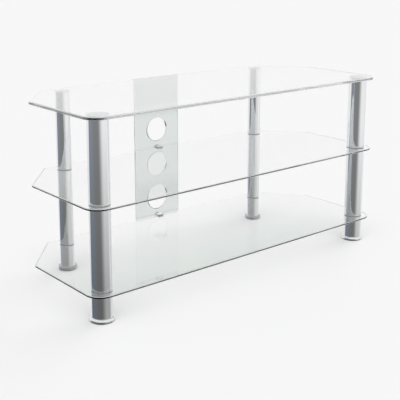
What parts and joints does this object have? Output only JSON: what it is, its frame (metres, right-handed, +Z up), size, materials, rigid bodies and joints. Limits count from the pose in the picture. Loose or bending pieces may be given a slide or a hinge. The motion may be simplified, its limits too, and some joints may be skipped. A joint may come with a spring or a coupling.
{
  "type": "corner tv stand",
  "caption": "Corner television stand: clear glass shelves with cut rear corners on chromed tube legs with levelling feet, and a glass cable panel behind.",
  "frame": {"origin": "on the floor, under the middle of the stand's outline", "axes": "+X to the right seen from the front, +Y towards the wall, +Z up"},
  "size_m": [0.956, 0.418, 0.4805],
  "materials": {
    "clear_glass": "clear tempered float glass, flat and polished, with a green-grey edge",
    "panel_glass": "clear tempered glass, slightly grey-green, polished edges",
    "chrome": "bright chrome plate on steel",
    "zinc_steel": "zinc-plated steel",
    "clip_metal": "satin-plated zinc casting",
    "soft_pad": "dark soft plastic washer stock",
    "nylon": "natural nylon",
    "glide_plastic": "moulded plastic glide"
  },
  "bodies": {
    "stand": {"top_shelf": "clear_glass", "middle_shelf": "clear_glass", "bottom_shelf": "clear_glass", "cable_panel": "panel_glass", "middle_shelf_clip": "clip_metal", "bottom_shelf_clip": "clip_metal", "clip_pads": "soft_pad", "clip_set_screws": "zinc_steel", "panel_screws": "zinc_steel", "panel_washers": "soft_pad", "shelf_bushes": "nylon", "front_shelf_washers": "soft_pad", "rear_shelf_washers": "soft_pad", "front_tube_ends": "zinc_steel", "rear_tube_ends": "zinc_steel", "front_left_top_flange": "chrome", "front_left_upper_tube": "chrome", "front_left_middle_tube": "chrome", "front_left_lower_tube": "chrome", "front_left_tie_rod": "zinc_steel", "front_left_lower_plug": "zinc_steel", "front_right_top_flange": "chrome", "front_right_upper_tube": "chrome", "front_right_middle_tube": "chrome", "front_right_lower_tube": "chrome", "front_right_tie_rod": "zinc_steel", "front_right_lower_plug": "zinc_steel", "rear_left_top_flange": "chrome", "rear_left_upper_tube": "chrome", "rear_left_middle_tube": "chrome", "rear_left_lower_tube": "chrome", "rear_left_tie_rod": "zinc_steel", "rear_left_lower_plug": "zinc_steel", "rear_right_top_flange": "chrome", "rear_right_upper_tube": "chrome", "rear_right_middle_tube": "chrome", "rear_right_lower_tube": "chrome", "rear_right_tie_rod": "zinc_steel", "rear_right_lower_plug": "zinc_steel"},
    "front_left_leveller": {"front_left_foot": "chrome", "front_left_glide": "glide_plastic"},
    "front_right_leveller": {"front_right_foot": "chrome", "front_right_glide": "glide_plastic"},
    "rear_left_leveller": {"rear_left_foot": "chrome", "rear_left_glide": "glide_plastic"},
    "rear_right_leveller": {"rear_right_foot": "chrome", "rear_right_glide": "glide_plastic"}
  },
  "joints": [
    {"name": "front_left_level", "type": "slide", "parent": "stand", "child": "front_left_leveller", "axis": [0, 0, -1], "range_m": [0, 0.008]},
    {"name": "front_right_level", "type": "slide", "parent": "stand", "child": "front_right_leveller", "axis": [0, 0, -1], "range_m": [0, 0.008]},
    {"name": "rear_left_level", "type": "slide", "parent": "stand", "child": "rear_left_leveller", "axis": [0, 0, -1], "range_m": [0, 0.008]},
    {"name": "rear_right_level", "type": "slide", "parent": "stand", "child": "rear_right_leveller", "axis": [0, 0, -1], "range_m": [0, 0.008]}
  ]
}
